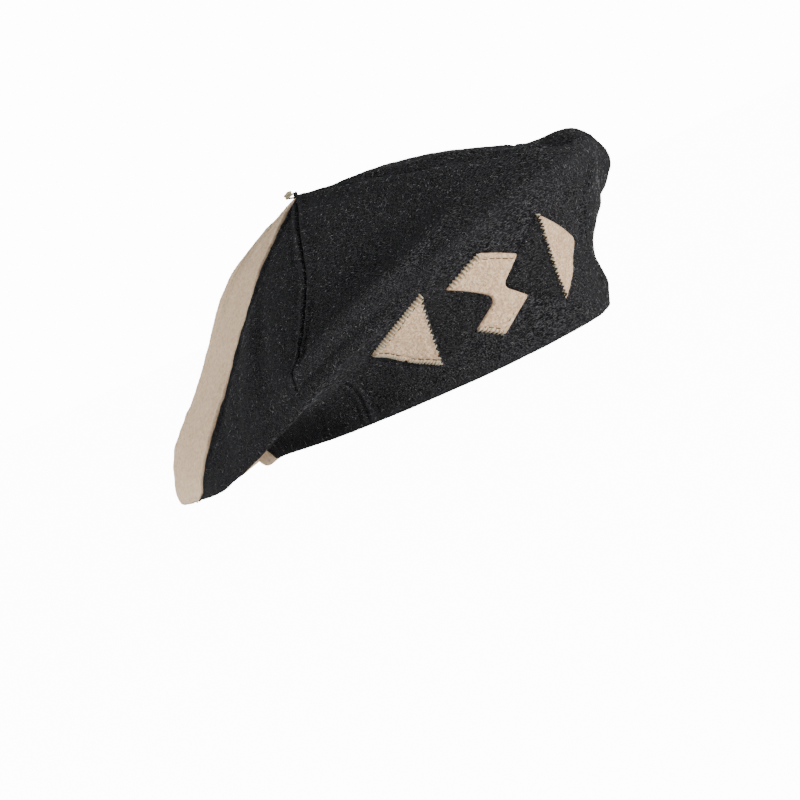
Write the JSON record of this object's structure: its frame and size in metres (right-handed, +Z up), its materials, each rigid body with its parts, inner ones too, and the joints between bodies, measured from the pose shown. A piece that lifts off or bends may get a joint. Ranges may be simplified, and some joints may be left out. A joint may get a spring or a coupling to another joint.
{
  "type": "beret",
  "caption": "Soft gored wool beret in black and cream with a pointed crown, applied geometric patches, a lining and a ribbon sweatband.",
  "frame": {"origin": "centre of the head opening, in the plane of the hem", "axes": "+Z up out of the opening towards the crown, front of the hat towards -Y, the wearer's right towards -X"},
  "size_m": [0.2618, 0.2461, 0.1205],
  "materials": {
    "wool_black": "fuzzy boiled wool with fine grey fibres",
    "wool_cream": "fuzzy boiled wool, matte",
    "lining_black": "satin lining cloth",
    "ribbon_black": "ribbed grosgrain ribbon",
    "patch_cream": "felted wool with stitched edges",
    "patch_black": "felted wool with stitched edges",
    "thread_cream": "twisted thread"
  },
  "bodies": {
    "root": {"gore_front": "wool_black", "gore_right_side": "wool_black", "gore_right_back": "wool_cream", "gore_back": "wool_cream", "gore_left_back": "wool_cream", "gore_left_side": "wool_black", "lining_front": "lining_black", "lining_right_side": "lining_black", "lining_right_back": "lining_black", "lining_back": "lining_black", "lining_left_back": "lining_black", "lining_left_side": "lining_black", "sweatband": "ribbon_black", "band_keeper": "ribbon_black", "patch_triangle_right": "patch_cream", "patch_bolt": "patch_cream", "patch_triangle_left": "patch_cream", "patch_dark_right": "patch_black", "patch_dark_left": "patch_black", "crown_stem": "wool_black", "crown_knot": "thread_cream"}
  },
  "joints": []
}
